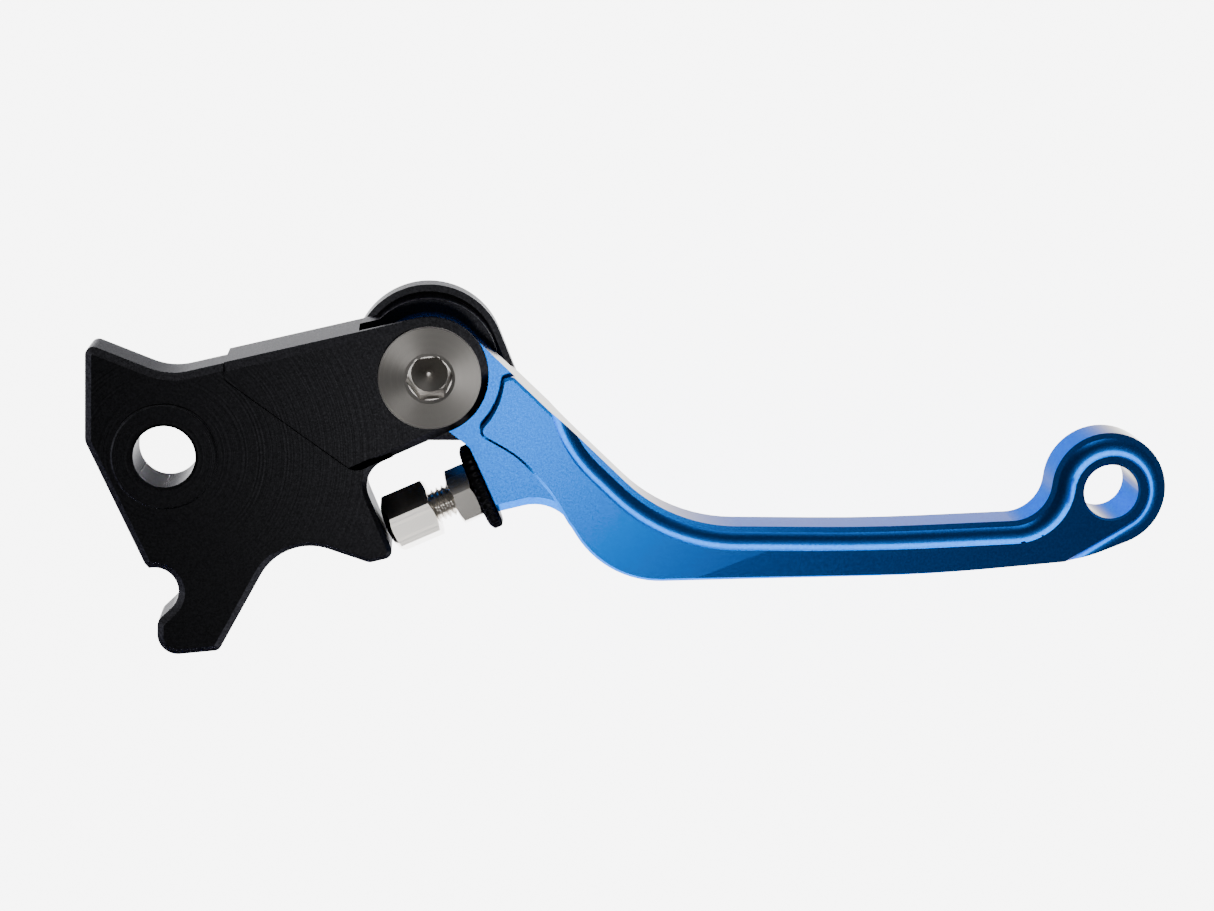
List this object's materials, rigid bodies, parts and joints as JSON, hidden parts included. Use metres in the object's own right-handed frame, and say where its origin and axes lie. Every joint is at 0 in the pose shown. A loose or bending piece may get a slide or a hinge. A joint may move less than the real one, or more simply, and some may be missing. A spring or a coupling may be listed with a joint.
{
  "type": "folding motorcycle clutch lever",
  "caption": "Folding clutch lever: a black base bracket with pivot bore and hook, a sprung blue blade on a pivot bolt, and a screw reach adjuster.",
  "frame": {"origin": "centre of the lever's pivot bore, midway between its two faces", "axes": "+Z along the pivot bore towards the side with the pivot bolt's head; +X towards the blade's tip; +Y forward, away from the handlebar grip"},
  "size_m": [0.1587, 0.0525, 0.0295],
  "materials": {
    "black_anodised": "satin black anodised",
    "blue_anodised": "satin bright-dipped blue anodised",
    "bronze": "plain sintered bronze",
    "acetal": "moulded, off-white",
    "hardened_steel": "ground",
    "stainless_steel": "turned",
    "nylon": "moulded",
    "spring_steel": "drawn wire, oiled",
    "nitrile_rubber": "moulded, smooth",
    "black_steel": "black oxide"
  },
  "bodies": {
    "base": {"base_bracket": "black_anodised", "pivot_bolt": "stainless_steel", "pivot_nut_washer": "stainless_steel", "pivot_nut": "stainless_steel", "pivot_nut_ring": "nylon", "spring_housing": "black_anodised", "housing_seal": "nitrile_rubber", "housing_screws": "black_steel", "torsion_spring": "spring_steel"},
    "blade": {"blade": "blue_anodised", "hub_bush": "bronze", "front_thrust_washer": "acetal", "rear_thrust_washer": "acetal", "drive_pin": "hardened_steel", "adjuster_locknut": "stainless_steel", "adjuster_washer": "black_anodised"},
    "adjuster": {"adjuster_bolt": "stainless_steel"}
  },
  "joints": [
    {"name": "blade_fold", "type": "hinge", "parent": "base", "child": "blade", "pos_m": [0.0383, 0.01155, 0], "axis": [0, 0, 1], "range_deg": [0, 90], "stiffness_Nm_per_rad": 0.15, "springref_deg": -28.65, "deforming": ["torsion_spring"]},
    {"name": "adjuster_travel", "type": "slide", "parent": "blade", "child": "adjuster", "axis": [0.9164, 0.4003, 0], "range_m": [0, 0.0016]}
  ]
}
